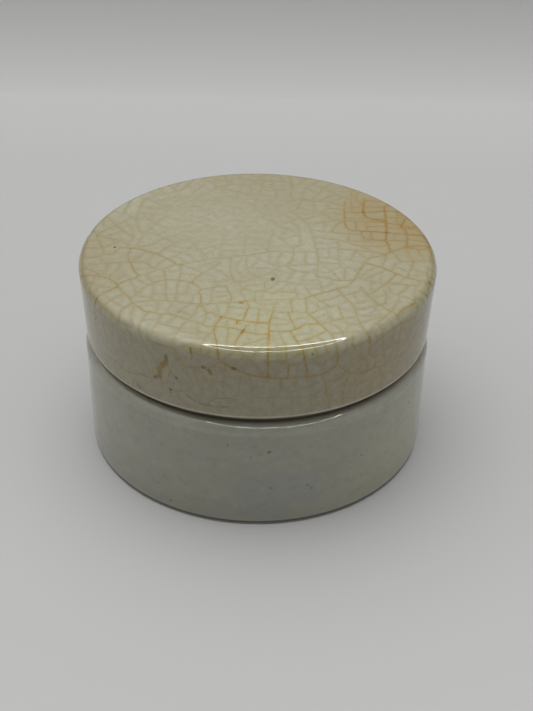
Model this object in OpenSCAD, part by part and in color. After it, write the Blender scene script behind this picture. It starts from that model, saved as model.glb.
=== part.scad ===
// Lidded stoneware pot for ointment: a turned body with a neck, and a loose lid that slips over the neck.
// Millimetres. The pot stands on z = 0, and both pieces are turned about the Z axis.

/* [Body] */
// Outer diameter at the shoulder
body_d = 79.1; // [60:0.1:110]
// Height from the table to the shoulder
body_h = 27; // [18:0.2:70]
// How far the wall draws in, on the radius, from the shoulder down to the foot
body_taper = 0.4; // [0:0.05:2]
// Radius of the shoulder's rounded edge
shoulder_round = 2.1; // [0.6:0.1:3]
// Thickness of the floor
floor_t = 4.8; // [3:0.2:9]
// Radius where the inner wall runs into the floor
floor_round = 5; // [1:0.5:9]

/* [Foot] */
// Width of the foot ring
foot_w = 6; // [3:0.5:12]
// Depth of the hollow inside the foot ring
foot_hollow = 1.2; // [0.4:0.1:2.5]
// How far the hollow's wall leans, on the radius
hollow_lean = 0.5; // [0:0.1:2]
// Radius of the foot ring's edges
foot_round = 0.5; // [0.1:0.05:0.6]

/* [Neck] */
// Distance from the outside of the shoulder in to the neck
ledge_w = 4.2; // [3.4:0.1:7]
// Thickness of the neck at its lip
neck_wall = 2.6; // [1.8:0.1:5]
// Radius of the lip's edges
lip_round = 1.2; // [0.2:0.1:2]
// How far the inner wall draws in, on the radius, from the lip down to the floor
inner_taper = 0.6; // [0:0.1:2]

/* [Seat] */
// Height of the seat step above the shoulder, which shows as the dark line below the lid
seat_h = 1.8; // [0.6:0.1:3]
// Width of the flat on the step that the lid's rim bears on
seat_bearing = 0.6; // [0.3:0.05:1.2]
// Radius of the step's edge and of its foot
seat_round = 0.3; // [0.1:0.05:0.3]
// Radius where the glaze pools at the neck's root, and of the inner edge of the lid's rim
glaze_round = 0.2; // [0.1:0.05:0.5]

/* [Lid] */
// Height of the lid from its rim to its top
lid_h = 17.8; // [12:0.2:30]
// How far the lid's top edge stands out past the shoulder, on the radius
lid_over = 0.55; // [0:0.05:3]
// How far the skirt draws in, on the radius, from the top down to the rim
lid_taper = 0.9; // [0:0.1:2]
// Radius of the lid's top edge
lid_round = 2.2; // [0.5:0.1:4]
// Radius of the outer edge of the rim
rim_round = 0.6; // [0.1:0.05:0.9]
// Thickness of the lid's top
lid_top_t = 4.2; // [2.5:0.1:6]
// Radius where the lid's inner wall runs into the underside of its top
lid_inner_round = 2.5; // [0.5:0.1:4]
// How far the lid's inner wall draws in, on the radius, from the rim up to the top
lid_inner_taper = 0.4; // [0:0.05:0.5]
// Play between the neck and the inside of the rim, on the radius
lid_play = 0.6; // [0.4:0.05:0.9]
// Room between the neck's lip and the underside of the lid's top
head_room = 4.6; // [2.6:0.1:8]

/* [Hidden] */
$fn = 180;

// Turn of one step along a rounded corner, in degrees
corner_step = 6;

// The body's outside, foot and floor
body_r = body_d / 2;
foot_r = body_r - body_taper;
hollow_r = foot_r - foot_w;
floor_z = foot_hollow + floor_t;

// The neck and the step round it that carries the lid
neck_r = body_r - ledge_w;
rim_inner_r = neck_r + lid_play;
seat_r = rim_inner_r + glaze_round + seat_bearing + seat_round;
seat_z = body_h + seat_h;
neck_z = seat_z + lid_h - lid_top_t - head_room;
mouth_r = neck_r - neck_wall;
floor_r = mouth_r - inner_taper;

// The lid, which stands on the step with its rim round the neck
lid_r = body_r + lid_over;
rim_r = lid_r - lid_taper;
lid_z = seat_z + lid_h;
ceiling_z = lid_z - lid_top_t;
ceiling_r = rim_inner_r - lid_inner_taper;

// Roundings that their wall or ledge limits
shoulder_fit = min(shoulder_round, body_r - seat_r - seat_round);
lip_fit = min(lip_round, 0.48 * neck_wall);

function unit(v) = v / norm(v);

// Points of the arc of radius r that rounds the corner at p, between the edges to a and to b
function corner(a, p, b, r) =
    let (
        to_a = unit(a - p),
        to_b = unit(b - p),
        half = acos(to_a * to_b) / 2,
        centre = p + unit(to_a + to_b) * r / sin(half),
        start = p + to_a * r / tan(half) - centre,
        first = atan2(start.y, start.x),
        turn = sign(cross(p - a, b - p)) * (180 - 2 * half),
        steps = ceil(abs(turn) / corner_step)
    )
    [for (i = [0:steps]) let (t = first + turn * i / steps) centre + r * [cos(t), sin(t)]];

// Outline of a turned piece, from corners given as [radius from the axis, height, rounding]
function rounded(corners) =
    let (at = [for (c = corners) [c.x, c.y]])
    [for (i = [0:len(corners) - 1]) each
        corners[i].z > 0 ? corner(at[i - 1], at[i], at[i + 1], corners[i].z) : [at[i]]];

// From the middle of the underside, out over the foot, up the wall, over the neck and down inside
pot_outline = [
    [0, foot_hollow, 0],
    [hollow_r - hollow_lean, foot_hollow, foot_round],
    [hollow_r, 0, foot_round],
    [foot_r, 0, foot_round],
    [body_r, body_h, shoulder_fit],
    [seat_r, body_h, seat_round],
    [seat_r, seat_z, seat_round],
    [neck_r, seat_z, glaze_round],
    [neck_r, neck_z, lip_fit],
    [mouth_r, neck_z, lip_fit],
    [floor_r, floor_z, floor_round],
    [0, floor_z, 0]
];

// From the middle of the underside, down inside the skirt, round the rim and up to the top
lid_outline = [
    [0, ceiling_z, 0],
    [ceiling_r, ceiling_z, lid_inner_round],
    [rim_inner_r, seat_z, glaze_round],
    [rim_r, seat_z, rim_round],
    [lid_r, lid_z, lid_round],
    [0, lid_z, 0]
];

module pot() {
    color([0.66, 0.68, 0.64]) rotate_extrude() polygon(rounded(pot_outline));
}

module lid() {
    color([0.80, 0.77, 0.64]) rotate_extrude() polygon(rounded(lid_outline));
}

pot();
lid();
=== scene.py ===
"""Lidded stoneware pot for ointment: a grey-green body and a loose cream lid with stained crazing.

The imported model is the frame. Both turned pieces are modelled again here as finer surfaces of revolution,
inside the same sizes, and glazed with procedural materials. Lengths are in metres where nothing says mm.
"""
import math

import bpy
import numpy as np
from mathutils import Matrix, Vector


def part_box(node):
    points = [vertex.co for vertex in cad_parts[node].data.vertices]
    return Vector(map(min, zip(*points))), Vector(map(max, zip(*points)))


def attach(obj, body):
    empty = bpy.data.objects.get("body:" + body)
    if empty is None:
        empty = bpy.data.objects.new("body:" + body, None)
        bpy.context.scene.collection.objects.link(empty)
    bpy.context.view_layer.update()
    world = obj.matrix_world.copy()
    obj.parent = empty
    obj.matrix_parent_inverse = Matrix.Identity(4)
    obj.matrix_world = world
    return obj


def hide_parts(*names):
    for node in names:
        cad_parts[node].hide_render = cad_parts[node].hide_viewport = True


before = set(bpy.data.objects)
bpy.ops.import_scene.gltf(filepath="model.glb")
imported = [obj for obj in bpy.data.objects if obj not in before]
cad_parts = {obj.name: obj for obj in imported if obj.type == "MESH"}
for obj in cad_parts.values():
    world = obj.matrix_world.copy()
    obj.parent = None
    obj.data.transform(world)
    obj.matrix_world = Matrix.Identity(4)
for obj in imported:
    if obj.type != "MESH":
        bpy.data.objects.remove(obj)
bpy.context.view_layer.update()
mm = 0.001

# Heights that the frame gives: top of the neck, rim of the lid and top of the lid
lip_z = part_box("pot")[1].z
seat_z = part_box("lid")[0].z
lid_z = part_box("lid")[1].z

# Sizes of the body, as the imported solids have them
body_r = 39.55 * mm
body_h = 27.0 * mm
foot_r = 39.15 * mm
hollow_r = 33.15 * mm
hollow_lean = 0.5 * mm
foot_hollow = 1.2 * mm
foot_round = 0.5 * mm
shoulder_round = 2.1 * mm
seat_r = 37.05 * mm
seat_round = 0.3 * mm
glaze_round = 0.2 * mm
neck_r = 35.35 * mm
mouth_r = 32.75 * mm
lip_round = 1.2 * mm
floor_r = 32.15 * mm
floor_z = 6.0 * mm
floor_round = 5.0 * mm

# Sizes of the lid
lid_r = 40.1 * mm
lid_round = 2.2 * mm
rim_r = 39.2 * mm
rim_round = 0.6 * mm
rim_inner_r = 35.95 * mm
ceiling_r = 35.55 * mm
ceiling_z = 42.4 * mm
ceiling_round = 2.5 * mm

# Spacing of the points along straight stretches and round the rounded corners
fine = 0.4 * mm
coarse = 0.8 * mm
loose = 3 * mm
pot_arc = 0.2 * mm
lid_arc = 0.25 * mm

# Steps round the axis
pot_segments = 384
lid_segments = 480

# Camera, from the perspective of the photograph
picture_w = 533
picture_h = 711
focal_px = 1300
foot_px = (255.995, 416.836)
camera_distance = 317.1 * mm
camera_down = math.radians(34.32)
camera_roll = math.radians(-1.015)


def rounded(corners, arc):
    """Outline through corners given as (radius, height, rounding, spacing of points up to the next corner).

    A rounded corner is the arc that touches both of its edges, with points at the arc's spacing. Straight
    stretches are cut at their own spacing.
    """
    at = np.array([c[:2] for c in corners])
    points = []
    for i, corner in enumerate(corners):
        radius = corner[2]
        if radius == 0:
            points.append(at[i][None])
            continue
        to_a = (at[i - 1] - at[i]) / np.linalg.norm(at[i - 1] - at[i])
        to_b = (at[i + 1] - at[i]) / np.linalg.norm(at[i + 1] - at[i])
        half = math.acos(float(to_a @ to_b)) / 2
        middle = to_a + to_b
        centre = at[i] + middle / np.linalg.norm(middle) * radius / math.sin(half)
        start = at[i] + to_a * radius / math.tan(half) - centre
        side = np.sign(to_b[0] * to_a[1] - to_b[1] * to_a[0])
        turn = side * (math.pi - 2 * half)
        steps = max(3, math.ceil(abs(turn) * radius / arc))
        t = math.atan2(start[1], start[0]) + turn * np.linspace(0, 1, steps + 1)
        points.append(centre + radius * np.stack([np.cos(t), np.sin(t)], -1))
    outline = [points[0]]
    for before, after, corner in zip(points, points[1:], corners):
        length = np.linalg.norm(after[0] - before[-1])
        cuts = np.linspace(0, 1, max(2, math.ceil(length / corner[3]) + 1))[1:-1, None]
        outline += [before[-1] * (1 - cuts) + after[0] * cuts, after]
    return np.concatenate(outline)


def turned(name, outline, segments):
    """Surface of revolution: point (r, z) of the outline goes to (r cos t, r sin t, z) round the axis.

    The outline starts and ends on the axis, where its two points close the surface as poles.
    """
    t = np.arange(segments) * 2 * math.pi / segments
    ring = outline[1:-1]
    rows = len(ring)
    grid = np.empty((rows, segments, 3))
    grid[..., 0] = ring[:, :1] * np.cos(t)
    grid[..., 1] = ring[:, :1] * np.sin(t)
    grid[..., 2] = ring[:, 1:]
    poles = [(0, 0, outline[0][1]), (0, 0, outline[-1][1])]
    places = np.concatenate([grid.reshape(-1, 3), poles])
    index = np.arange(rows * segments).reshape(rows, segments)
    after = np.roll(index, -1, axis=1)
    quads = np.stack([index[:-1], after[:-1], after[1:], index[1:]], -1).reshape(-1, 4)
    first = np.full(segments, rows * segments)
    start = np.stack([first, after[0], index[0]], -1)
    end = np.stack([first + 1, index[-1], after[-1]], -1)
    corners = np.concatenate([quads.ravel(), start.ravel(), end.ravel()])
    sizes = np.concatenate([np.full(len(quads), 4), np.full(2 * segments, 3)])
    mesh = bpy.data.meshes.new(name)
    mesh.vertices.add(len(places))
    mesh.vertices.foreach_set("co", places.ravel())
    mesh.loops.add(len(corners))
    mesh.loops.foreach_set("vertex_index", corners)
    mesh.polygons.add(len(sizes))
    mesh.polygons.foreach_set("loop_start", np.concatenate([[0], np.cumsum(sizes)[:-1]]))
    mesh.polygons.foreach_set("use_smooth", np.ones(len(sizes), bool))
    mesh.update(calc_edges=True)
    mesh.validate()
    return linked(name, mesh)


def linked(name, data):
    """New object in the scene that shows a mesh, a lamp or a camera."""
    piece = bpy.data.objects.new(name, data)
    bpy.context.scene.collection.objects.link(piece)
    return piece


# The body, from the middle of its underside, over the foot, wall, shoulder and neck, to its floor
pot_outline = rounded([
    (0, foot_hollow, 0, loose),
    (hollow_r - hollow_lean, foot_hollow, foot_round, coarse),
    (hollow_r, 0, foot_round, coarse),
    (foot_r, 0, foot_round, coarse),
    (body_r, body_h, shoulder_round, coarse),
    (seat_r, body_h, seat_round, coarse),
    (seat_r, seat_z, seat_round, coarse),
    (neck_r, seat_z, glaze_round, coarse),
    (neck_r, lip_z, lip_round, coarse),
    (mouth_r, lip_z, lip_round, coarse),
    (floor_r, floor_z, floor_round, loose),
    (0, floor_z, 0, coarse),
], pot_arc)
pot = turned("pot_body", pot_outline, pot_segments)

# The lid, from the middle of its underside, down the skirt, round the rim and up to the middle of its top
lid_outline = rounded([
    (0, ceiling_z, 0, loose),
    (ceiling_r, ceiling_z, ceiling_round, coarse),
    (rim_inner_r, seat_z, glaze_round, coarse),
    (rim_r, seat_z, rim_round, fine),
    (lid_r, lid_z, lid_round, fine),
    (0, lid_z, 0, fine),
], lid_arc)
lid = turned("lid_cover", lid_outline, lid_segments)

for piece, body, node, slot in ((pot, "pot", "pot", "pot_glaze"), (lid, "lid", "lid", "lid_glaze")):
    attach(piece, body)
    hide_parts(node)

# Cracks that the photograph shows, on the lid's outside unrolled from the middle of its top: stain from 0
# to 1, then places in mm, x to the right and y away from the camera
seen_cracks = [
    # Front, on the top
    (0.8, [(-26, -23.1), (-24.4, -24.6), (-23.2, -26.2), (-21.4, -26.5), (-19.6, -27.4), (-18.6, -26.9),
        (-17, -27.5), (-14.2, -29.1), (-12.2, -30), (-10, -31.5), (-8.2, -31.4), (-6, -31.7),
        (-4.2, -32.1), (-2.8, -33), (-1.3, -33.6), (0.5, -34.1), (2.7, -34.1)]),
    (1.0, [(-7.2, -27.8), (-5.7, -28.3), (-3.9, -28.9), (-2.2, -29.3), (-0.4, -29.7), (1.4, -29.8),
        (2.7, -30)]),
    (0.6, [(-11.6, -23.2), (-10.3, -26.4), (-9.1, -26.2), (-8.2, -27.1), (-7.2, -27.8)]),
    (0.9, [(-7.2, -27.8), (-7.5, -29), (-8.1, -30.3), (-8.2, -31.5), (-8.5, -32.8), (-8.3, -34.1),
        (-8, -35.8), (-7.6, -37.8), (-7.5, -39.9), (-7.5, -41.4)]),
    (0.75, [(-1.9, -25), (-2.2, -26.5), (-2.6, -29.2)]),
    (0.9, [(-3.9, -28.9), (-3.9, -30.6)]),
    (0.9, [(-1.9, -30.9), (-2.3, -32.5), (-2.8, -33.4), (-3.3, -35), (-3.8, -36.4), (-4.2, -38.1)]),
    (0.9, [(3.6, -24.9), (3.1, -27.5), (2.7, -29.9), (2.7, -32.8), (2.6, -36.4), (2.6, -39.9),
        (2.7, -41.6), (3, -44.6), (3.1, -45.7)]),
    (0.8, [(2.7, -32.8), (4.6, -32.9), (6.9, -32.7), (8.4, -31.9), (10.4, -29.9), (13.2, -29.9)]),
    (0.6, [(6.5, -25.5), (6.9, -27.2), (7.5, -29.3), (8.1, -31.9)]),
    (0.8, [(7, -32.7), (7.6, -34.4), (8.3, -36.4), (8.7, -37.5)]),
    (0.5, [(-12, -23.2), (-13, -27.2), (-13.8, -29.2), (-14.8, -31), (-15.7, -33.4), (-16.4, -35.4)]),
    (0.3, [(-11.9, -30.3), (-11.6, -32.8), (-11.7, -34.9)]),
    (0.4, [(-11.7, -33.9), (-10.1, -33.7), (-8.6, -34.2)]),
    (0.6, [(-5.6, -31.8), (-5.6, -35.8), (-5.7, -37.8)]),
    (0.4, [(-5.9, -22.2), (-5.9, -25.8), (-6.6, -27.8)]),
    (0.4, [(-10.3, -26.6), (-10.3, -28.4), (-10.8, -30.8)]),
    (0.4, [(-2, -21.6), (-1.6, -23.5), (-1.6, -24.4), (1.1, -24.4), (3.4, -25), (4.3, -25.7),
        (6.9, -25.6), (8.5, -25.4), (10.7, -25.8)]),
    # Front, on the skirt
    (1.0, [(-7.5, -41.4), (-6.3, -42.4), (-4.7, -43.4), (-3.1, -44.3), (-1, -45.2)]),
    (0.7, [(-1, -45.2), (1.6, -45.6), (4.6, -45.8), (7.5, -45.6), (9.9, -45.2), (13.1, -44.5),
        (16, -43.6), (17, -42.6), (18.4, -41.3), (18.9, -40.5)]),
    (0.6, [(-7.5, -41.4), (-8.9, -42.7), (-10.1, -43), (-11.6, -42.7), (-13, -42.8), (-16, -42.5)]),
    (0.8, [(9, -37.3), (10, -39.6), (10.6, -41.1), (11.6, -42.6), (12.3, -44.6)]),
    (0.6, [(6, -37.5), (6.5, -40.8), (7.4, -42.8), (7.8, -45.6)]),
    (0.4, [(2.7, -41.6), (6, -41.8), (8.5, -42), (10.5, -41.2)]),
    (0.4, [(6.1, -45.9), (6.5, -47.5), (6.7, -48.6)]),
    (0.3, [(9.9, -45.2), (9.9, -48)]),
    (0.8, [(-13.1, -38.1), (-13.2, -39.4), (-13.9, -40.8)]),
    (0.5, [(16, -43.6), (17.2, -44.9), (18.6, -46.4), (19.5, -48.5)]),
    (0.4, [(22, -41.6), (22, -42.9), (20.7, -44.1), (18.2, -44.9)]),
    (0.4, [(23.6, -41.6), (23.7, -44.4), (24.5, -47)]),
    # Right
    (0.65, [(10.7, -25.8), (11.9, -27.7), (13.2, -29.9), (14.2, -31.6), (15.3, -33.6), (16.1, -35.8),
        (17, -37.6), (18.1, -39.4), (18.9, -40.5), (20.4, -41.1), (22.5, -41.5), (24.8, -41.5),
        (26.6, -41), (28.4, -40.1), (31, -37.9), (33.2, -36.8), (34.3, -35.5), (36.3, -33.9),
        (38, -31.9), (39.5, -30), (41.2, -27)]),
    (0.5, [(31, -37.9), (29.9, -37), (28.5, -36.2), (27, -35.9), (25.7, -36.8), (24.7, -38.1),
        (23, -40.3)]),
    (0.3, [(26.4, -42.7), (30, -47)]),
    (0.3, [(30.6, -40.2), (34.5, -44.1)]),
    (0.6, [(17, -15.8), (17.7, -17.4), (18.5, -19.2), (19.6, -21), (20.4, -22.6), (20.6, -24.6),
        (21, -27.3), (21.4, -29.6), (22, -31.4), (23.1, -32.7), (24.2, -34.1), (25.4, -35.1),
        (26.6, -36), (28.6, -36.3), (30.4, -37.1), (31.3, -38.2)]),
    (0.65, [(22.1, -15), (23.5, -18.3), (24.6, -20.1), (26, -22.3), (27.2, -23.8), (28.4, -24.9),
        (29.8, -26.3), (31.3, -27.3), (32.8, -28.5), (33.9, -29.4), (36, -31.5)]),
    (0.6, [(20.6, -24), (22.5, -23.8), (25.2, -22.4), (27, -21.5), (27.6, -18.6), (27.4, -16.4)]),
    (0.5, [(13.2, -29.9), (15.1, -28.8), (17.2, -27.9), (18.9, -27.3), (20.9, -26.9)]),
    (0.3, [(17.4, -27.8), (18.9, -29.4), (21.4, -30)]),
    (0.5, [(28, -24.6), (26, -27.6), (24, -30), (23, -32.5)]),
    (0.6, [(28.6, -36.3), (30.6, -34.1), (31.3, -32.9), (32.5, -31.4), (33.9, -29.6)]),
    (0.8, [(38.5, 3.2), (36.1, 3.4), (34.4, 3.1), (32.9, 2.5), (31.1, 1.3), (29.6, 0.1), (27.3, -1.4),
        (25.2, -2.4), (24.4, -3), (23.6, -4.5), (23, -6.5), (22.1, -8.6), (21.6, -10.4), (20.8, -12.4),
        (19.4, -14.9), (17.2, -15.9), (15.2, -17.1), (13.2, -18.1), (11.5, -19), (10, -20.2)]),
    (0.9, [(23.6, -4.7), (26.4, -6.1), (27.6, -6.8), (29.1, -8.3), (30.4, -9.3), (32.3, -10.6),
        (33.8, -11.5), (35.2, -12.1), (37.3, -12), (40.5, -13.5)]),
    (0.8, [(30.2, -9.3), (28.8, -11.8), (27.6, -13.6), (25.7, -15.9), (24.6, -17.4), (23.4, -18.1)]),
    (0.5, [(30.2, 0.3), (31.1, -2.4), (31.7, -4), (34.9, -3.4), (38.5, -3.3)]),
    (0.5, [(29.3, -8.4), (29.6, -6.5), (30.6, -4.9), (31.7, -4)]),
    (0.4, [(21.9, -11.2), (23.8, -12.4), (27.6, -13.6), (28.5, -15.6), (28.3, -16.8), (30.2, -18.3),
        (32, -19), (33.5, -20.1), (36, -21.4)]),
    (0.4, [(35.2, -12.1), (33.8, -15.6), (33.5, -18), (33.5, -20.1)]),
    (0.3, [(24.8, -12.6), (24.2, -16.8)]),
    (0.5, [(37.5, -6), (36.8, -9.5), (37.3, -12)]),
    (0.35, [(13.1, -9.4), (15.5, -9.2), (17, -7.4), (18.3, -6.7), (19.8, -6.9), (22.6, -7.4)]),
    (0.4, [(18, 4.5), (18, -2.4), (18.2, -5.6), (18.3, -6.7)]),
    (0.3, [(13.5, -2.6), (15.8, -2.7), (18.5, -3.3), (20.8, -3.9), (23.6, -4.4)]),
    # Rust stain on the far right
    (1.0, [(20.3, 24), (20.1, 20.1), (20, 17.2), (19.9, 14.2), (20.1, 11.9), (20.8, 10.2), (22.3, 9.8),
        (24.6, 9.7), (27.3, 9.5), (29.4, 9.2), (31.4, 8.8), (34.1, 8.5), (38, 8.2)]),
    (1.0, [(29.6, 21.5), (29.6, 15.7), (29.5, 12.8), (29.4, 9.5), (29.1, 7.2), (28.9, 5.4), (29.4, 3.6),
        (29.6, 0.1)]),
    (1.0, [(25.2, 26), (24.5, 20.1), (24.5, 18.6), (24.9, 16.9), (26.1, 15.7), (29.5, 14.5)]),
    (0.8, [(20.1, 18.9), (22, 18.6), (24.5, 18.8), (26.7, 19.1), (29.6, 19.7), (32.5, 19.7)]),
    (0.8, [(23.6, 9.6), (23.6, 7.8), (24.1, 6), (29, 5.6)]),
    (0.9, [(34, 15.5), (32.9, 12.2), (33.8, 10.1), (33.9, 7.8), (33.8, 5.4), (33.3, 2.7)]),
    (0.8, [(33.4, 11), (35.2, 11.6), (37, 13)]),
    (0.7, [(29.6, 16.8), (33.8, 16.3), (35.5, 16)]),
    (0.5, [(24.9, 13.5), (24.9, 9.8)]),
    (0.6, [(20, 14.6), (25, 14.4), (29.6, 14.1), (32.4, 12.8), (35.2, 12.1)]),
    (0.5, [(20.1, 15.9), (24, 15.9), (29.5, 15.8)]),
    (0.5, [(20, 21.2), (24.2, 21.6), (29.6, 21.5)]),
    (0.5, [(29.4, 11.5), (32.8, 11.3), (36.6, 10.8)]),
    (0.5, [(21.8, 5), (24.1, 5), (29, 5.4), (31.5, 5.6), (33.8, 5.4)]),
    (0.5, [(21.9, 25.6), (21.8, 21.4), (21.9, 18.7)]),
    (0.4, [(31, 8.9), (31, 5.6)]),
    (0.5, [(32.4, 18.7), (32, 14.4), (32.4, 12.8)]),
    # Middle
    (0.45, [(8, 18), (9.2, 16.1), (10.1, 14.9), (11, 13.1), (11.7, 11.4), (12, 9.3), (12.2, 7.2),
        (12.6, 5.2), (12.8, 2.8), (13.1, 0.5), (13.4, -3.5), (13.2, -6.8), (12.8, -9.3), (13, -11.2),
        (13.6, -13.6), (14, -17.6)]),
    (0.4, [(2.4, 20), (1.3, 17.2), (0.7, 15), (2.5, 14), (3.6, 13.1), (4.8, 12.2), (5.7, 10.8),
        (7.2, 9.9), (9.5, 7.5), (9.5, 2.8), (7.8, 1.6)]),
    (0.3, [(4.8, 12.2), (6.6, 13.1), (8.4, 14.6), (9.7, 15.5)]),
    (0.35, [(3.4, 9), (3.2, 7), (2.4, 4.9), (2.2, -0.6)]),
    (0.3, [(5.2, 5.5), (6.6, 3.1), (7.8, 1.6), (8.1, -0.5)]),
    (0.3, [(-2.8, 8.1), (0.7, 8.1), (3.3, 7.5)]),
    (0.25, [(-9, 12), (-7.8, 8.7), (-8.1, 5.8), (-8.3, 2.4), (-8.4, -3.7)]),
    (0.55, [(-16.5, -6.7), (-13.1, -5.3), (-10.1, -4.1), (-7.2, -3.5), (-4.8, -2.8), (-2.2, -2.2),
        (0.5, -1.2), (2.8, -0.4), (5.5, -0.3), (8.1, -0.5), (13.1, -0.2)]),
    (0.45, [(-5.9, -3.1), (-6, -6), (-5.9, -9.1), (-5.6, -11.2), (-5, -13.2), (-4.2, -14.1),
        (-3.4, -15.9), (-1.9, -17.1), (-0.4, -17.6), (1.6, -17.1), (3.1, -16), (4.6, -13)]),
    (0.45, [(-4.8, -13.9), (-2.8, -13.4), (-0.7, -12.2), (1.1, -11), (2.5, -10), (4, -7.9), (5.8, -6.5),
        (7.5, -4.6), (8.1, -0.5)]),
    (0.4, [(5.9, -6.5), (8.1, -8.5), (9.9, -9.1), (13.1, -9.3)]),
    (0.3, [(-2.5, -2.3), (-2.5, -7.4), (-1.9, -9.4), (-0.1, -11.5), (1.6, -13.8), (1.6, -17.1)]),
    (0.35, [(3.2, -9), (4.3, -11.5), (4.6, -13), (6.1, -13.4), (8.1, -14.4), (13.6, -14.2)]),
    (0.35, [(8.1, -8.5), (7.5, -10.3), (6.9, -11.8), (6.1, -13.4)]),
    (0.3, [(-0.4, -17.6), (-0.4, -20.9)]),
    (0.3, [(4.6, -20.7), (3.8, -22.8), (3.4, -25)]),
    (0.25, [(8.4, -14.4), (8.2, -17), (8.7, -20.4)]),
    # Left
    (0.7, [(-19, -22), (-16.7, -22.1), (-15, -22.6), (-11.6, -23.1), (-9.5, -22.7), (-7.2, -22.4),
        (-4.2, -22.1), (-3.1, -22), (-1.9, -21.3)]),
    (0.4, [(-1.9, -21.3), (0.5, -20.9), (4.6, -20.7), (7.5, -20.4), (10, -20.2)]),
    (0.8, [(-23.4, -15.9), (-22.3, -14.9), (-20.8, -13.7), (-18.5, -13.4), (-16.4, -13.6),
        (-14.2, -14.2), (-13.1, -15.3), (-11.9, -17.1), (-12.3, -18.4), (-11.7, -20), (-11.6, -23.1)]),
    (0.8, [(-14, -14.3), (-13.4, -12.6), (-12.8, -11.8), (-11.9, -10.3)]),
    (0.35, [(-11.9, -10.3), (-10.4, -8.6), (-8.8, -6.4), (-8.4, -3.8)]),
    (0.6, [(-11.9, -17.1), (-10.1, -16.5), (-8.4, -15.9), (-7.2, -15.6), (-6.6, -15.4)]),
    (0.35, [(-8, -15.8), (-8.9, -13.5), (-9.6, -11.5), (-11.9, -10.4)]),
    (0.6, [(-6.7, -15.3), (-6, -17.6), (-5.4, -19.7), (-5.3, -22.1)]),
    (0.3, [(-5.5, -19), (-3.6, -17.6), (-2.6, -16.7)]),
    (0.3, [(-9.5, -16.4), (-9.5, -19.7), (-9.4, -22.6)]),
    (0.5, [(-38.5, -8.5), (-35.7, -7.4), (-34.6, -7.1), (-32.3, -6.8), (-30.2, -6.2), (-27.9, -6.1),
        (-25.2, -6.1), (-24.1, -6.6), (-23.2, -8.1), (-21.9, -9.4), (-20.1, -8.4), (-17.9, -6.8)]),
    (0.9, [(-28, -6.2), (-27.3, -8.4), (-26.6, -10.3), (-25.7, -11.8), (-26, -12.8), (-27.6, -13.6),
        (-28.8, -14.7), (-29.8, -15.8), (-30.1, -16.9), (-31.1, -18.1), (-32.6, -19.4), (-33.5, -20.3),
        (-35.5, -21.3), (-38, -22)]),
    (0.8, [(-40, -10.5), (-36.7, -11.9), (-34.9, -12.4), (-33.5, -12.8), (-32, -13.1), (-30.7, -14.6),
        (-29.9, -15.8), (-29.4, -16.9), (-28.3, -19), (-27, -20.6), (-26, -22.9)]),
    (0.6, [(-26, -22.9), (-26.9, -24.3), (-28, -26), (-28.6, -28.5)]),
    (0.35, [(-32, -13.1), (-31.4, -11.4), (-30.7, -9.9), (-30.2, -8.1), (-30.1, -6.3)]),
    (0.4, [(-25.7, -11.9), (-24.6, -11.4), (-23.2, -10.3), (-21.9, -9.4)]),
    (0.55, [(-20.6, -8.8), (-19.9, -11.9), (-19.6, -14), (-19.4, -16.4), (-19.2, -19.3),
        (-18.8, -21.9)]),
    (0.5, [(-17, -6.9), (-16.7, -9.9), (-16.9, -13.4), (-17, -15.8), (-17, -18.7), (-17.1, -22)]),
    (0.45, [(-26, -13), (-24.4, -14.9), (-23.2, -15.8), (-24.1, -16.6), (-24.6, -18.1), (-26.2, -21)]),
    (0.3, [(-27.5, -13.6), (-26.7, -15.5), (-26, -16.9), (-25.6, -19.6)]),
    (0.6, [(-25.9, -22.9), (-23.8, -22.4), (-21.4, -21.8), (-19, -22)]),
    (0.5, [(-19.6, -27.4), (-19.9, -29.9), (-21, -33)]),
    (0.35, [(-25.5, -23.6), (-25.8, -27.5), (-25.3, -30.5)]),
    (0.3, [(-22, -15), (-22, -18.7), (-22, -21.8)]),
    (0.3, [(-22, -19.3), (-19.2, -19.3), (-16.7, -19.3), (-11.8, -19)]),
    (0.3, [(-20.8, -21.9), (-20.5, -26.9)]),
    (0.9, [(-31, 0.2), (-29.6, 0.1), (-27.6, -0.1), (-25.8, -0.7), (-24.1, -1.6), (-22.3, -2.5),
        (-20.2, -4.2), (-18.8, -5.5), (-17.9, -6.8), (-16.5, -6.7)]),
    (0.5, [(-22.3, -2.5), (-21.4, -0.9), (-20.2, 0.9), (-19.1, 2.6), (-17.6, 4), (-15, 5)]),
    (0.45, [(-38.5, -5), (-36.7, -4.4), (-34.9, -3.5), (-33.2, -2.8), (-31.8, -2.4), (-30.8, 0.2)]),
    (0.3, [(-35, -3.6), (-34.4, -5.4), (-34.5, -7.1)]),
    (0.3, [(-28.8, 8), (-28.5, 3.8), (-29.6, 0.1)]),
    # Left of the skirt, where a stain below 0 stands for a grey crack
    (-0.35, [(-42.7, -30.5), (-38.9, -34.5), (-37.1, -37.5), (-34.5, -39.3), (-31.9, -40.5),
        (-29.5, -41.8), (-27.8, -42.8), (-25.7, -42.8)]),
    (-0.5, [(-24.5, -42.9), (-24.9, -44), (-24.3, -45.7), (-23.1, -46.8), (-21, -47.7), (-19.4, -47.9),
        (-18.5, -49.4), (-16.8, -50.9), (-14.9, -52), (-12.4, -52.7), (-10.1, -53.2), (-7.3, -53.3)]),
    (-0.3, [(-13.2, -52.1), (-10.8, -50.8), (-9.2, -51.1), (-6.7, -51), (-4.3, -51.6)]),
    (0.4, [(-16.3, -42.5), (-16.5, -44.3)]),
    (0.4, [(-14.1, -42.8), (-14.3, -44.5), (-14, -45.8)]),
    (0.5, [(-17.1, -38.5), (-17.5, -40.4)]),
    (0.5, [(-21.4, -40.2), (-24.2, -40.6), (-26.5, -41.6), (-26.3, -42.9)]),
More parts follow.
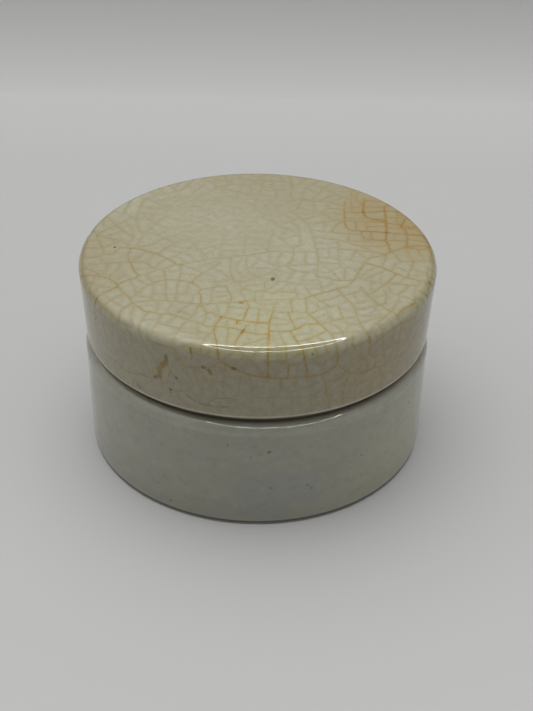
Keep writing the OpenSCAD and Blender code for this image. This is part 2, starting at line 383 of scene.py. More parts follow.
    (0.4, [(-27.1, -31.7), (-28.2, -33.6), (-29, -35.8), (-27, -36.4), (-27.1, -37.9)]),
    (0.35, [(-32.6, -31.5), (-33.2, -33.8), (-31.8, -35.9), (-29, -35.8)]),
    (0.3, [(-21.9, -31.3), (-22.7, -34.6)]),
    (0.3, [(-31.4, -28.2), (-34.5, -30.2)]),
    # Middle of the skirt
    (0.9, [(7.4, -42.9), (7.7, -45)]),
    (0.6, [(1.8, -41.8), (3.8, -41.7), (6, -41.3)]),
    (0.5, [(11.1, -40.8), (12.9, -39.7), (15.2, -38.1)]),
    (0.25, [(-1.6, -51.1), (3.8, -50.9), (9.1, -50.6), (17.3, -49)]),
]

# Distance in mm that stands for no crack near, and how far from a crack, in mm, distances are worked out
none_near = 9.0
spread = 7

# Step in mm that leads past every crack and mark, with a small stain or size
nowhere = (none_near, none_near, 0.1)


class Crazing:
    """Net of cracks on a flat map in mm.

    The map keeps, for each cell of a square raster, how far the nearest piece of crack is and which piece
    it is. Outside the reach the distance is nothing, so cracks end there.
    """

    # Length of a step of a new crack in mm, and the most steps it takes
    stride = 0.3
    longest = 60

    # A new crack turns towards an older one within this many mm, by this share of the angle a step
    turn_within = 1.1
    turn_share = 0.5

    # Spread of a crack's first heading, of its bend per mm and of its waver per step, in radians
    heading_spread = 0.2
    bend_spread = 0.06
    waver_spread = 0.06

    # A crack that starts this many mm from the others has its full stain, and one farther off more
    full_gap = 2.4
    most_stain = 1.3

    def __init__(self, reach, cell=0.25):
        self.cell = cell
        self.reach = reach
        self.line = np.arange(-reach - 1, reach + 1 + cell, cell)
        self.y, self.x = np.meshgrid(self.line, self.line, indexing="ij")
        self.far = np.where(np.hypot(self.x, self.y) < reach, none_near, 0.0)
        self.near = np.zeros(self.far.shape, int)

        # Straight pieces of crack, each as x0, y0, x1, y1 and stain
        self.pieces = np.zeros((0, 5))

    def around(self, path):
        """Part of the raster that a path can change."""
        low = np.searchsorted(self.line, np.min(path, 0) - spread)
        high = np.searchsorted(self.line, np.max(path, 0) + spread)
        return np.s_[low[1]:high[1], low[0]:high[0]]

    def add(self, path, stain):
        """Adds a crack along a path, and lowers the distances near it."""
        path = np.asarray(path, float)
        pieces = np.column_stack([path[:-1], path[1:], np.broadcast_to(stain, len(path) - 1)])
        part = self.around(path)
        gap = distances(self.x[part][..., None], self.y[part][..., None], pieces)[0]
        best = gap.argmin(-1)
        gap = np.take_along_axis(gap, best[..., None], -1)[..., 0]
        nearer = gap < self.far[part]
        self.far[part][nearer] = gap[nearer]
        self.near[part][nearer] = best[nearer] + len(self.pieces)
        self.pieces = np.concatenate([self.pieces, pieces])

    def nearest(self, x, y):
        """Step from a place to the nearest crack, as (distance, dx, dy)."""
        row = int(round((y - self.line[0]) / self.cell))
        column = int(round((x - self.line[0]) / self.cell))
        piece = self.pieces[self.near[row, column]][None]
        gap, dx, dy = distances(np.array([x]), np.array([y]), piece)
        return gap[0], dx[0], dy[0]

    def run(self, x, y, heading, bend, chance):
        """Path of a new crack from a free place until it meets an older one, which it turns square to."""
        path = [(x, y)]
        while math.hypot(x, y) < self.reach and len(path) < self.longest:
            gap, dx, dy = self.nearest(x, y)
            if gap < self.stride and len(path) > 1:
                path.append((x + dx, y + dy))
                break
            if dx * math.cos(heading) + dy * math.sin(heading) > 0:
                off = math.remainder(math.atan2(dy, dx) - heading, 2 * math.pi)
                heading += off * self.turn_share * max(0.0, 1 - gap / self.turn_within)
            heading += bend * self.stride + chance.normal(0, self.waver_spread)
            x += self.stride * math.cos(heading)
            y += self.stride * math.sin(heading)
            path.append((x, y))
        return path

    def fill(self, spacing, stain, chance):
        """Adds cracks through the widest free place, square to the nearest one, until no place on the map
        is as far from a crack as its spacing."""
        room = self.far / spacing
        while True:
            row, column = divmod(int(room.argmax()), room.shape[1])
            if room[row, column] < 1:
                break
            x = self.line[column]
            y = self.line[row]
            gap, dx, dy = self.nearest(x, y)
            heading = math.atan2(dy, dx) + chance.normal(0, self.heading_spread)
            bend = chance.normal(0, self.bend_spread)
            there = self.run(x, y, heading, bend, chance)
            back = self.run(x, y, heading + math.pi, bend, chance)
            path = back[:0:-1] + there
            share = min(self.most_stain, gap / self.full_gap) * chance.uniform(0.5, 1.3)
            self.add(path, stain[row, column] * share)
            part = self.around(path)
            room[part] = self.far[part] / spacing[part]


def distances(x, y, pieces):
    """Distance from places to straight pieces (x0, y0, x1, y1, ...), and the step to the nearest point."""
    along = pieces[:, 2:4] - pieces[:, :2]
    from_x = x - pieces[:, 0]
    from_y = y - pieces[:, 1]
    t = (from_x * along[:, 0] + from_y * along[:, 1]) / np.maximum((along ** 2).sum(-1), 1e-9)
    t = np.clip(t, 0, 1)
    dx = t * along[:, 0] - from_x
    dy = t * along[:, 1] - from_y
    return np.hypot(dx, dy), dx, dy


def smooth(value, low, high):
    """Smooth step of an array from 0 at low to 1 at high."""
    t = np.clip((value - low) / (high - low), 0, 1)
    return t * t * (3 - 2 * t)


# Marks in the lid's glaze on the same flat map: radius in mm, tone from 0 (black) to 1 (rusty), places
lid_marks = [
    # Specks on the top
    (0.4, 0.0, [(-32.1, 0.3)]), (0.25, 0.0, [(-15.9, -26.2)]), (0.2, 0.0, [(9, -14.1)]),
    (0.2, 0.3, [(8.7, -18.4)]), (0.6, 0.3, [(3.4, -12), (3.4, -12.6)]),
    (0.5, 0.85, [(-3.5, -22.1), (-3.1, -22.3)]), (0.35, 0.5, [(37.3, -12.1)]), (0.2, 0.3, [(0, -8)]),
    (0.2, 0.3, [(-31.9, -1.5)]), (0.35, 1.0, [(-32.7, 3.2)]), (0.35, 1.0, [(-25.8, 2.6)]),
    (0.5, 0.9, [(37, -16.2)]), (0.6, 1.0, [(24.5, 18.9)]), (0.6, 1.0, [(29.3, 9.3)]),
    (0.4, 1.0, [(-13.9, -14.2)]), (0.4, 1.0, [(-7.2, -27.8)]),
    (0.4, 0.8, [(-2.4, -32.6), (-2.9, -33.8)]), (0.2, 0.1, [(12.4, -7.7)]),
    (0.25, 0.3, [(-39.3, -22.5), (-37.5, -23.3)]), (0.2, 0.2, [(-35, -21.4), (-33.8, -20.5)]),
    # Specks and streaks on the skirt
    (0.6, 0.7, [(-20, -39.1), (-20.6, -40.2)]), (0.8, 0.9, [(-20.8, -40.3), (-22.5, -41)]),
    (0.75, 1.0, [(-22.5, -41), (-24.1, -41.7), (-24.5, -42.9)]),
    (0.5, 0.6, [(-4.4, -43.5), (-4.8, -43.3)]), (0.5, 0.7, [(-11.7, -42.8)]),
    (0.4, 0.8, [(-10.5, -43.6), (-10.1, -44.7)]), (0.5, 0.5, [(-26.5, -42.9)]),
    (0.45, 0.7, [(-19.8, -44.5)]), (0.4, 0.8, [(11.8, -39.1)]),
    (0.35, 0.9, [(-13.2, -38.2), (-13.3, -39)]), (0.4, 0.3, [(-23.1, -46.8)]),
    (0.25, 0.2, [(-23.3, -47.7)]), (0.3, 0.3, [(-34.7, -42.1), (-34, -43.5)]),
    (0.25, 1.0, [(20, -35.3), (21.6, -36.4)]), (0.3, 1.0, [(23.5, -32.6), (24.5, -33.7)]),
]

# Specks in the body's glaze: radius and tone as above, then mm round the wall from its front, and height
# in mm
pot_marks = [
    (0.2, 0.3, [(-17.8, 23.6)]), (0.2, 0.4, [(-12.2, 23.2)]), (0.3, 0.3, [(-5.5, 21.9)]),
    (0.25, 0.2, [(-0.6, 19.1)]), (0.4, 0.6, [(3.2, 20.4)]), (0.3, 0.2, [(-19.2, 2.6)]),
    (0.25, 0.3, [(-20.5, 9.4)]), (0.25, 0.3, [(-22.3, 6.4)]), (0.3, 0.2, [(3.6, 10.5)]),
    (0.2, 0.3, [(0.4, 22)]), (0.25, 0.2, [(11.9, 10.2)]), (0.25, 0.3, [(12.9, 9.1)]),
    (0.3, 0.4, [(25.2, 13.9)]), (0.35, 0.3, [(41.7, 19.5)]), (0.3, 0.1, [(46.7, 7.9)]),
    (0.2, 0.2, [(-25.5, 21.8)]),
]

# Tone that stands for no mark near, and how far from a mark, in mm, its tone is kept
no_tone = -1
tone_spread = 2

# Specks that the back gets, and the seeds of the random draws
back_count = 26
speck_seed = 3
crack_seed = 7


def vertex_places(piece):
    """Places of a piece's vertices, one row each."""
    places = np.empty(len(piece.data.vertices) * 3)
    piece.data.vertices.foreach_get("co", places)
    return places.reshape(-1, 3)


def unrolled(piece, outline):
    """Place of each vertex on the flat map, in mm, then how far that is from the middle, and from the axis.

    The map keeps the direction from the axis, and its radius is the length along the outline.
    """
    steps = np.hypot(*np.diff(outline, axis=0).T)
    along = np.concatenate([np.cumsum(steps[::-1])[::-1], [0]]) / mm
    places = vertex_places(piece)
    ring = along[1:-1]
    length = np.concatenate([np.repeat(ring, (len(places) - 2) // len(ring)), [along[0], 0]])
    angle = np.arctan2(places[:, 1], places[:, 0])
    radius = np.hypot(places[:, 0], places[:, 1]) / mm
    return length * np.cos(angle), length * np.sin(angle), length, radius


def wanted(net):
    """Distance in mm from the nearest crack that calls for another, and stain, for each place on the map.

    The zones are smooth steps over places in mm.
    """
    x = net.x
    y = net.y
    far = np.hypot(x, y)
    front = smooth(-y, 0, 18)
    left = smooth(-x, 12, 28)
    spacing = 1.85 - 0.3 * front + 0.3 * left * (1 - front) + 0.1 * smooth(far, 38, 46)
    stain = 0.3 + 0.1 * front + 0.12 * smooth(x, 10, 22) + 0.05 * smooth(-x, 12, 24)

    # More stain in the rusty patch, and less in the calm upper left and on most of the skirt
    stain += 0.3 * (1 - smooth(np.hypot(x - 31, y - 13), 10, 18))
    stain *= 1 - 0.6 * smooth(far, 43, 50) * (1 - 0.7 * smooth(x, 12, 26))
    stain *= 1 - 0.6 * (1 - smooth(np.hypot(x + 9, y - 17), 8, 26))
    return spacing, stain


def to_cracks(net, x, y):
    """Step from each place to the nearest crack, with its stain, and the distance.

    The nearest crack is looked for among those of the raster's cell and the eight cells round it.
    """
    row = np.clip(np.rint((y - net.line[0]) / net.cell), 1, len(net.line) - 2).astype(int)
    column = np.clip(np.rint((x - net.line[0]) / net.cell), 1, len(net.line) - 2).astype(int)
    step = np.zeros((len(x), 3))
    gap = np.full(len(x), none_near)
    for i in (-1, 0, 1):
        for j in (-1, 0, 1):
            pieces = net.pieces[net.near[row + i, column + j]]
            here, dx, dy = distances(x, y, pieces)
            nearer = here < gap
            gap[nearer] = here[nearer]
            step[nearer] = np.stack([dx, dy, pieces[:, 4]], -1)[nearer]
    return step, gap


def craze(piece, outline, reach):
    """Gives the vertices of the lid's outside the step to the nearest crack, its stain and its distance.

    The step changes evenly through nothing across a crack, so the shader can draw it finer than the mesh.
    The marks in the glaze are kept in the same way.
    """
    net = Crazing(reach)
    for stain, path in seen_cracks:
        net.add(path, stain)
    net.fill(*wanted(net), np.random.default_rng(crack_seed))
    x, y, length, radius = unrolled(piece, outline)
    step, gap = to_cracks(net, x, y)
    gap[length >= reach] = none_near
    store(piece, "crack_step", drawn_in(step, x, y, length, radius, reach))
    store(piece, "crack_gap", gap)
    step, tone = to_marks(x, y, lid_marks)
    store(piece, "mark_step", drawn_in(step, x, y, length, radius, reach))
    store(piece, "mark_tone", tone)


def drawn_in(step, x, y, length, radius, reach):
    """Steps on the flat map turned into steps on the lid.

    The map is stretched round the skirt, by length over radius, so the part of a step that goes round is
    drawn in. Beyond the reach a step leads far away.
    """
    length = np.maximum(length, 1e-6)
    outward = np.stack([x, y], -1) / length[:, None]
    around = step[:, :2] - (step[:, :2] * outward).sum(-1, keepdims=True) * outward
    step[:, :2] -= around * (1 - radius / length)[:, None]
    step[length >= reach] = nowhere
    return step


def to_marks(x, y, marks):
    """Step from each place to the nearest mark, with its radius, then the mark's tone.

    A mark of one place is a dot, and a mark of more places is a streak through them.
    """
    spots = np.array([(*a, *b, size, tone) for size, tone, path in marks
                      for a, b in zip(path, path[1:] or path)])
    away, dx, dy = distances(x[:, None], y[:, None], spots)
    near = (away - spots[:, 4]).argmin(1)
    each = np.arange(len(x))
    size, tone = spots[near, 4:].T
    tone = np.where(away[each, near] < size + tone_spread, tone, no_tone)
    return np.stack([dx[each, near], dy[each, near], size], -1), tone


def back_marks():
    """Specks round the back, which the photograph doesn't show.

    They lie past the part that is seen, which is given in mm round the wall to either side of its front.
    """
    chance = np.random.default_rng(speck_seed)
    whole_turn = 2 * math.pi * body_r / mm
    seen = 50
    marks = []
    for height in chance.uniform(2, 24, back_count):
        size = chance.uniform(0.15, 0.35)
        tone = chance.uniform(0, 0.5)
        marks.append((size, tone, [(chance.uniform(seen, whole_turn - seen), height)]))
    return marks


def speckle(piece):
    """Gives the vertices of the body's wall the step to the nearest speck.

    The angle is counted from the front, and jumps 45 degrees to the left of it, past the specks there.
    The neck and the inside have none.
    """
    x, y, z = vertex_places(piece).T
    angle = np.mod(np.arctan2(x, -y) + math.pi / 4, 2 * math.pi) - math.pi / 4
    step, tone = to_marks(angle * body_r / mm, z / mm, pot_marks + back_marks())
    inside = np.hypot(x, y) < foot_r - 2 * mm
    step[inside] = nowhere
    store(piece, "mark_step", step)
    store(piece, "mark_tone", tone)


def store(piece, name, values):
    """Keeps one value or one vector for each vertex under a name that materials can read."""
    kind = "FLOAT" if values.ndim == 1 else "FLOAT_VECTOR"
    layer = piece.data.attributes.new(name, kind, "POINT")
    layer.data.foreach_set("value" if values.ndim == 1 else "vector", values.ravel().astype(np.float32))


# Length in mm from the middle of the lid's top, down its outside, to where its cracks and marks end
crazed_reach = 57

craze(lid, lid_outline, crazed_reach)
speckle(pot)


class Shade:
    """A shader socket that takes part in Python arithmetic: each operation adds one Math node."""

    def __init__(self, kit, socket):
        self.kit = kit
        self.socket = socket

    def math(self, operation, *others):
        """The result of one Math node whose first value is this socket."""
        return self.kit.node("ShaderNodeMath", {"operation": operation}, self, *others)

    def __add__(self, other):
        return self.math("ADD", other)

    def __mul__(self, other):
        return self.math("MULTIPLY", other)

    def __sub__(self, other):
        return self.math("SUBTRACT", other)

    def __rsub__(self, other):
        return self.kit.node("ShaderNodeMath", {"operation": "SUBTRACT"}, other, self)

    def __pow__(self, other):
        return self.math("POWER", other)

    __radd__ = __add__
    __rmul__ = __mul__


class Nodes:
    """A node tree under construction."""

    def __init__(self, tree):
        self.tree = tree

    def put(self, socket, value):
        """Links a socket or gives it a value. A colour is written as red, green and blue."""
        if isinstance(value, Shade):
            self.tree.links.new(value.socket, socket)
        elif socket.type == "RGBA":
            socket.default_value = (*value, 1)
        else:
            socket.default_value = value

    def node(self, kind, settings, *values, output=0, **named):
        """Adds a node: its settings first, then values or links to its inputs in order or by name."""
        made = self.tree.nodes.new(kind)
        for name, value in settings.items():
            setattr(made, name, value)
        for socket, value in zip(made.inputs, values):
            self.put(socket, value)
        for name, value in named.items():
            self.put(made.inputs[name.replace("_", " ")], value)
        return Shade(self, made.outputs[output])

    def vector(self, operation, *values, output=0):
        """Result of a Vector Math node: output 0 is a vector and output 1 a number."""
        return self.node("ShaderNodeVectorMath", {"operation": operation}, *values, output=output)


class Finish(Nodes):
    """A material under construction."""

    def __init__(self, name):
        self.material = bpy.data.materials.new(name)
        self.material.use_nodes = True
        super().__init__(self.material.node_tree)
        self.tree.nodes.clear()
        self.shader = self.tree.nodes.new("ShaderNodeBsdfPrincipled")
        output = self.tree.nodes.new("ShaderNodeOutputMaterial")
        self.tree.links.new(self.shader.outputs[0], output.inputs["Surface"])
        place = self.tree.nodes.new("ShaderNodeTexCoord")
        self.place = Shade(self, place.outputs["Object"])

    def attribute(self, name, output):
        """Value kept at the vertices; output 1 is a vector and output 2 a number."""
        return self.node("ShaderNodeAttribute", {"attribute_name": name}, output=output)

    def parts(self, vector):
        """The three numbers of a vector."""
        first = self.node("ShaderNodeSeparateXYZ", {}, vector)
        return [Shade(self, socket) for socket in first.socket.node.outputs]

    def ball(self, centre, inner, outer):
        """One inside the inner radius round a place, falling to nothing at the outer one."""
        return 1 - self.step(self.vector("DISTANCE", self.place, centre, output=1), inner, outer)

    def noise(self, scale, detail=2.0, roughness=0.5, place=None):
        """Noise of so many waves a metre, from 0 to 1."""
        return self.node("ShaderNodeTexNoise", {}, Vector=place or self.place, Scale=scale, Detail=detail,
                         Roughness=roughness)

    def mix(self, factor, a, b, blend="MIX"):
        """Colour a turning into colour b as the factor goes from 0 to 1.

        The colours of a Mix node are its inputs 6 and 7 and its output 2.
        """
        made = self.tree.nodes.new("ShaderNodeMix")
        made.data_type = "RGBA"
        made.blend_type = blend
        self.put(made.inputs["Factor"], factor)
        self.put(made.inputs[6], a)
        self.put(made.inputs[7], b)
        return Shade(self, made.outputs[2])

    def step(self, value, low, high, to_low=0.0, to_high=1.0):
        """A smooth step of a value from low to high."""
        return self.node("ShaderNodeMapRange", {"interpolation_type": "SMOOTHSTEP"}, value, low, high,
                         to_low, to_high)

    def band(self, value, rise, top, fall, end):
        """One from top to fall, rising from nothing at rise and sinking to nothing at end."""
        return self.step(value, rise, top) * self.step(value, fall, end, 1.0, 0.0)

    def marked(self, colour):
        """Specks and streaks with ragged edges, from the steps kept at the vertices."""
        black = (0.05, 0.045, 0.04)
        rusty = (0.87, 0.66, 0.2)
        across, around, size = self.parts(self.attribute("mark_step", 1))
        tone = self.attribute("mark_tone", 2)
        ragged = (self.noise(900, 4, 0.7) - 0.5) * size * 1.5
        off = (across * across + around * around) ** 0.5 + ragged
        cover = (1 - self.step(off, size * 0.4, size * 1.1)) * self.step(tone, -0.5, 0.0)
        cover = cover * self.step(size, 0.1, 0.45, 0.35, 1.0)
        return self.mix(cover, colour, self.mix(tone, black, rusty), "MULTIPLY")

    def bump(self, height, strength, distance):
        """Normals of a surface that a height raises."""
        return self.node("ShaderNodeBump", {}, Strength=strength, Distance=distance, Height=height)

    def shade(self, **inputs):
        """The finished material, with values or links at the shader's inputs."""
        for name, value in inputs.items():
            self.put(self.shader.inputs[name.replace("_", " ")], value)
        return self.material


def pot_glaze():
    """Grey-green glaze with bluer clouds and a darker grain, thin and pinkish below the shoulder."""
    finish = Finish("pot_glaze")
    height = finish.parts(finish.place)[2]
    radius = finish.vector("LENGTH", finish.vector("MULTIPLY", finish.place, (1, 1, 0)), output=1)
    stretched = finish.vector("MULTIPLY", finish.place, (1, 1, 1.3))
    cloud = finish.noise(70, 4, 0.6, stretched)
    grain = finish.noise(420, 3, 0.65, stretched)

    # Two greens in clouds, bluer ones mostly in front, and a grain of darker and paler dots
    dark_green = (0.311, 0.313, 0.251)
    pale_green = (0.342, 0.340, 0.276)
    blue_grey = (0.300, 0.300, 0.288)
    dark_dots = (0.25, 0.255, 0.235)
    pale_dots = (0.375, 0.37, 0.31)
    colour = finish.mix(finish.step(cloud, 0.3, 0.7), dark_green, pale_green)
    front = finish.ball((2 * mm, -39 * mm, 12 * mm), 6 * mm, 22 * mm)
    blue = finish.step(finish.noise(95, 3, 0.6), 0.45, 0.62, 0.0, 0.65) * (0.25 + 0.75 * front)
    colour = finish.mix(blue, colour, blue_grey)
    colour = finish.mix(finish.step(grain, 0.52, 0.72, 0.0, 0.45), colour, dark_dots)
    colour = finish.mix(finish.step(grain, 0.30, 0.46, 0.4, 0.0), colour, pale_dots)

    # Thin glaze that the clay shows through, below the shoulder's edge, and painted light that makes the
    # wall paler on the right
    pinkish = (0.43, 0.375, 0.315)
    painted_light_tint = (1.12, 1.12, 1.03)
    edge = body_h - shoulder_round
    thin = finish.band(height - edge, -0.7 * mm, -0.3 * mm, 0.0, 0.7 * mm)
    thin = thin * finish.step(radius, seat_r, seat_r + 1 * mm)
    colour = finish.mix(thin * finish.step(grain, 0.3, 0.65, 0.65, 0.2), colour, pinkish)
    # Painted light: the lower right of the wall is made paler, as if lit more from that side
    painted_light_patch = finish.ball((34 * mm, -20 * mm, 4 * mm), 6 * mm, 30 * mm)
    colour = finish.mix(painted_light_patch, colour, painted_light_tint, "MULTIPLY")

    # The unglazed foot, with a dark line of painted contact shade round its outer edge, where it meets the
    # floor
    bare_clay = (0.42, 0.37, 0.31)
    painted_contact_shade = (0.06, 0.065, 0.065)
    foot = finish.step(height, 1.0 * mm, 1.8 * mm, 0.4, 0.0)
    colour = finish.mix(foot, colour, bare_clay)
    # Painted shade: the rounding of the foot is darkened as if in the shadow where it meets the floor
    outer = finish.step(radius, foot_r - 0.5 * mm, foot_r - 0.2 * mm)
    line = finish.band(height, 0.3 * mm, 0.6 * mm, 0.9 * mm, 1.2 * mm) * 0.85
    colour = finish.mix(outer * line, colour, painted_contact_shade)
    colour = finish.marked(colour)

    # The corner below the seat step, darkened with painted shade where the lid's rim overhangs it
    # Colour of the painted shade that is multiplied into the corner
    painted_step_shade = (0.45, 0.40, 0.34)
    inward = finish.band(radius - seat_r, -0.6 * mm, -0.4 * mm, 0.1 * mm, 0.9 * mm)
    upright = finish.band(height, body_h - 1 * mm, body_h - 0.1 * mm, seat_z - 1.2 * mm, seat_z - 0.6 * mm)
    colour = finish.mix(inward * upright, colour, painted_step_shade, "MULTIPLY")
    wave = finish.bump(finish.noise(110, 2), 0.006, 1 * mm)
    return finish.shade(Base_Color=colour, Roughness=0.02, IOR=1.5, Normal=wave)


def lid_glaze():
    """Cream glaze, greyer on the skirt, with pale cells between stained cracks and a rusty patch."""
    finish = Finish("lid_glaze")
    height = finish.parts(finish.place)[2]
    cloud = finish.noise(55, 4, 0.6)
    grain = finish.noise(330, 3, 0.6)
    warm = finish.noise(45, 3, 0.6)
    middle = finish.ball((-4 * mm, 0, lid_z), 10 * mm, 38 * mm)
    gold = finish.ball((4 * mm, -30 * mm, lid_z - 1 * mm), 6 * mm, 21 * mm)
    rust = finish.ball((36 * mm, 16 * mm, lid_z), 9 * mm, 24 * mm)
    right = finish.ball((40 * mm, 12 * mm, lid_z), 6 * mm, 34 * mm)
    left = finish.ball((-44 * mm, -8 * mm, lid_z), 6 * mm, 32 * mm)
    back = finish.ball((6 * mm, 44 * mm, lid_z), 6 * mm, 44 * mm)
    calm = finish.ball((-9 * mm, 17 * mm, lid_z), 8 * mm, 26 * mm)
    skirt = 1 - finish.step(height, lid_z - 4 * mm, lid_z - 1 * mm)

    # Stained glaze beside the cracks, and paler glaze in the cells between them. Each zone in turn goes
    # over the ones before it: its share and colour for the stained glaze, then those for the pale glaze
    stained = finish.mix(middle, (0.325, 0.293, 0.168), (0.340, 0.315, 0.196))
    pale = finish.mix(finish.step(cloud, 0.3, 0.7), (0.383, 0.360, 0.238), (0.405, 0.390, 0.279))
    for zone, stained_share, stained_colour, pale_share, pale_colour in (
            (back, 1.0, (0.318, 0.280, 0.158), 1.0, (0.345, 0.312, 0.196)),
            (left, 1.0, (0.318, 0.278, 0.152), 1.0, (0.345, 0.308, 0.188)),
            (right, 0.8, (0.322, 0.275, 0.140), 0.9, (0.350, 0.312, 0.184)),
            (gold, 0.9, (0.400, 0.367, 0.190), 0.8, (0.427, 0.417, 0.284)),
            (skirt, 1.0, (0.316, 0.284, 0.190), 1.0, (0.330, 0.304, 0.216))):
        stained = finish.mix(zone * stained_share, stained, stained_colour)
        pale = finish.mix(zone * pale_share, pale, pale_colour)
    across, around, stain = finish.parts(finish.attribute("crack_step", 1))
    gap = finish.attribute("crack_gap", 2)
    cell = finish.step(gap + grain * 0.8, 0.3, 1.5, 0.45, 1.0) * finish.step(cloud, 0.25, 0.6, 0.55, 1.0)
    colour = finish.mix(cell.math("MAXIMUM", calm * 0.75), stained, pale)

    # A fine mottle, pits on the top and the rusty patch
    mottle_shade = (0.88, 0.86, 0.78)
    pit_shade = (0.72, 0.70, 0.62)
    rust_brown = (0.320, 0.240, 0.090)
    mottle = (1 - finish.step(finish.noise(620, 3, 0.7), 0.35, 0.65)) * (0.7 + 0.3 * skirt)
    colour = finish.mix(mottle, colour, mottle_shade, "MULTIPLY")
    pits = finish.step(finish.noise(1900, 1), 0.66, 0.74) * finish.step(warm, 0.42, 0.58) * (1 - skirt)
    colour = finish.mix(pits, colour, pit_shade, "MULTIPLY")
    colour = finish.mix(rust * finish.step(warm, 0.2, 0.55) * 0.85, colour, rust_brown)

    # Cracks, wider in the rusty patch, each with a stained halo; a stain below 0 draws a grey one
    faint_ink = (0.70, 0.64, 0.40)
    top_ink = (0.89, 0.64, 0.08)
    skirt_ink = (0.96, 0.65, 0.10)
    grey_ink = (0.42, 0.42, 0.40)
    halo_shade = (0.93, 0.80, 0.52)
    level = stain.math("ABSOLUTE")
    tan = finish.step(stain, -0.1, 0.0)
    local = (0.6 + 0.35 * gold).math("MAXIMUM", rust).math("MAXIMUM", 1 - tan)
    strength = level * finish.step(grain, 0.3, 0.65, 0.5, 1.0) * local
    width = (0.06 + 0.1 * level) * (1 + 0.6 * rust)
    off = (across * across + around * around) ** 0.5
    line = (1 - finish.step(gap, 0.4, 0.65)) * (1 - finish.step(off, width * 0.4, width + 0.13))
    halo = 1 - finish.step(gap, 0.1, 0.9)
    ink = finish.mix(finish.step(level, 0.3, 0.6), faint_ink, finish.mix(skirt, top_ink, skirt_ink))
    ink = finish.mix(tan, grey_ink, ink)
    colour = finish.mix(halo * strength * tan * 0.5, colour, halo_shade, "MULTIPLY")
    colour = finish.mix((line * strength * 1.35).math("MINIMUM", 1.0), colour, ink, "MULTIPLY")

    # The right of the skirt, darker at the side with painted shade and yellower in front, then the marks
    painted_side_shade = (0.84, 0.84, 0.81)
    yellower = (1.0, 0.95, 0.86)
    # Painted shade on the right side of the skirt
    painted_shade_right = finish.ball((40 * mm, -8 * mm, 38 * mm), 6 * mm, 24 * mm) * skirt
    colour = finish.mix(painted_shade_right, colour, painted_side_shade, "MULTIPLY")
    yellow = finish.ball((30 * mm, -28 * mm, 36 * mm), 8 * mm, 22 * mm) * skirt
    colour = finish.mix(yellow, colour, yellower, "MULTIPLY")
    colour = finish.marked(colour)

    # The rim's edge, where the glaze ran thin, painted paler also as a highlight
    thin_glaze_highlight = (0.52, 0.455, 0.375)
    # The pale band is thin glaze together with a painted highlight on the rim's rounding
    edge = finish.band(height - seat_z, 0.3 * mm, 0.45 * mm, 0.75 * mm, 0.95 * mm)
    colour = finish.mix(edge * finish.step(grain, 0.3, 0.6, 0.9, 0.6), colour, thin_glaze_highlight)
    wave = finish.bump(finish.noise(90, 2), 0.01, 1 * mm)
    return finish.shade(Base_Color=colour, Roughness=0.02, IOR=1.6, Normal=wave)


pot.data.materials.append(pot_glaze())
lid.data.materials.append(lid_glaze())


def place_camera():
    """The camera looks along +Y and down, and the middle of the foot falls on its own pixel."""
    forward = Vector((0, math.cos(camera_down), -math.sin(camera_down)))
    right = Vector((1, 0, 0))
    up = right.cross(forward)
    turn_c = math.cos(camera_roll)
    turn_s = math.sin(camera_roll)
    right, up = turn_c * right - turn_s * up, turn_s * right + turn_c * up
    across = (foot_px[0] - picture_w / 2) / focal_px * camera_distance
    above = -(foot_px[1] - picture_h / 2) / focal_px * camera_distance
    data = bpy.data.cameras.new("camera")
    data.sensor_width = 36
    data.lens = focal_px / picture_h * data.sensor_width
    data.clip_start = 0.01
    camera = linked("camera", data)
    matrix = Matrix((right, up, -forward)).transposed().to_4x4()
    matrix.translation = -(across * right + above * up + camera_distance * forward)
    camera.matrix_world = matrix
    bpy.context.scene.camera = camera


place_camera()


def sheet():
    """Floor and backdrop, one sheet that rises behind the pot.

    Its profile in (y, z) is carried along X: flat, a slight fold, then an arc of a circle up to the top.
    """
    fold_y = 0.195
    fold_turn = math.radians(10)
    top_turn = math.radians(80)
    bend = 0.09
    wide = 2.5
    arc_points = 24
    t = np.linspace(fold_turn, top_turn, arc_points)
    y = np.concatenate([[-wide], fold_y + bend * (np.sin(t) - math.sin(fold_turn))])
    z = np.concatenate([[0], bend * (math.cos(fold_turn) - np.cos(t))])
    places = np.stack([np.tile([-wide, wide], len(y)), np.repeat(y, 2), np.repeat(z, 2)], -1)
    index = np.arange(len(y) * 2).reshape(-1, 2)
    faces = np.stack([index[:-1, 0], index[:-1, 1], index[1:, 1], index[1:, 0]], -1)
    mesh = bpy.data.meshes.new("floor")
    mesh.from_pydata(places.tolist(), [], faces.tolist())
    behind_fold = np.arange(len(faces)) > 0
    mesh.polygons.foreach_set("use_smooth", behind_fold)
    piece = linked("floor", mesh)

    # Plain paper with painted shade: a little darker behind the pot and more so up the backdrop
    near_grey = (0.515, 0.515, 0.51)
    painted_shade_behind = (0.478, 0.478, 0.474)
    painted_backdrop_shade = (0.445, 0.445, 0.44)
    finish = Finish("floor_paper")
    away = finish.parts(finish.place)[1]
    colour = finish.mix(finish.band(away, -0.12, 0.1, 0.13, 0.2), near_grey, painted_shade_behind)
    colour = finish.mix(finish.step(away, 0.19, 0.26), colour, painted_backdrop_shade)
    mesh.materials.append(finish.shade(Base_Color=colour, Roughness=0.9))


sheet()

# Overhead ring of lamps round a dark camera. They only show as reflections, as two fine lines with a darker
# space between them on the lid's front edge
ring_middle = Vector((0.0725, -0.155, 0.4966))
ring_radius = 0.233
ring_width = 16 * mm
ring_count = 48


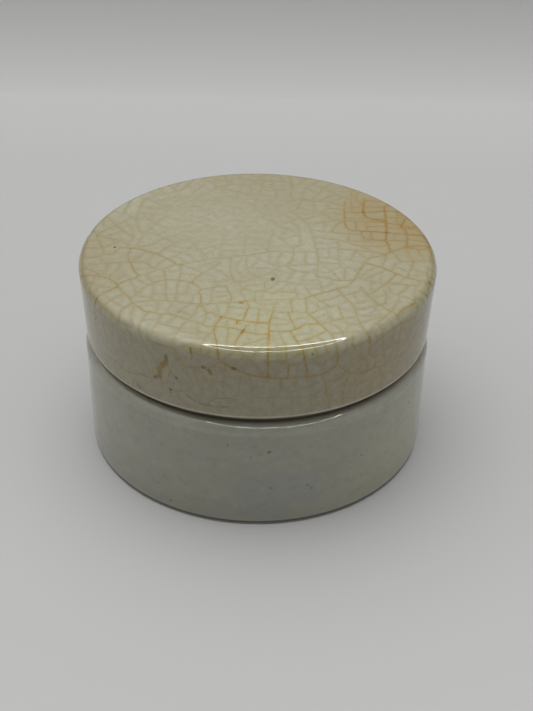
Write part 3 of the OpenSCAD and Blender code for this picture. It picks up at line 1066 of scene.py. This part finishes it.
def ring_of_lamps():
    """Rectangles end to end round a circle, brighter in front and behind than at the sides."""
    for i in range(ring_count):
        angle = i * 2 * math.pi / ring_count
        power = 2.15 + 0.3 * math.cos(angle) - 0.2 * math.sin(angle) - 1.05 * math.cos(2 * angle)
        data = bpy.data.lights.new("ring_lamp", "AREA")
        data.shape = "RECTANGLE"
        data.size = ring_width
        data.size_y = 2 * math.pi * ring_radius / ring_count
        data.energy = power / ring_count
        lamp = linked("ring_lamp", data)
        spot = ring_middle + ring_radius * Vector((math.cos(angle), math.sin(angle), 0))
        lamp.matrix_world = Matrix.Translation(spot) @ Matrix.Rotation(angle, 4, "Z")
        lamp.visible_diffuse = False


def dark_camera():
    """A black disc inside the ring, seen in reflections only."""
    turns = np.arange(ring_count) * 2 * math.pi / ring_count
    rim = np.stack([np.cos(turns), np.sin(turns), 0 * turns], -1) * (ring_radius - ring_width)
    mesh = bpy.data.meshes.new("dark_camera")
    mesh.from_pydata((rim + np.array(ring_middle)).tolist(), [], [list(range(ring_count))])
    piece = linked("dark_camera", mesh)
    finish = Finish("camera_black")
    mesh.materials.append(finish.shade(Base_Color=(0, 0, 0), Roughness=1.0, Specular_IOR_Level=0.0))
    piece.visible_camera = False
    piece.visible_diffuse = False
    piece.visible_shadow = False


ring_of_lamps()
dark_camera()


def light_room():
    """World of soft white lobes: each is a power of the cosine of the angle from its own direction."""
    world = bpy.data.worlds.new("room")
    bpy.context.scene.world = world
    world.use_nodes = True
    sky = Nodes(world.node_tree)
    place = world.node_tree.nodes.new("ShaderNodeTexCoord")
    direction = Shade(sky, place.outputs["Generated"])

    # Overhead, behind, upper left and right: direction, how narrow the lobe is, and its strength
    lobes = (
        ((0, 0, 1), 8, 2.68),
        ((0, 1, 1), 4, 0.72),
        ((-1, 0, 1), 4, 0.9),
        ((0.97, -0.25, 0.1), 4, 0.74),
    )
    total = 0.0
    for towards, narrow, strength in lobes:
        aim = tuple(Vector(towards).normalized())
        cosine = sky.vector("DOT_PRODUCT", direction, aim, output=1)
        total = total + strength * cosine.math("MAXIMUM", 0.0) ** narrow
    background = world.node_tree.nodes["Background"]
    sky.put(background.inputs["Strength"], total)
    sky.put(background.inputs["Color"], (1, 1, 1))


light_room()

bpy.context.scene.view_settings.view_transform = "Standard"
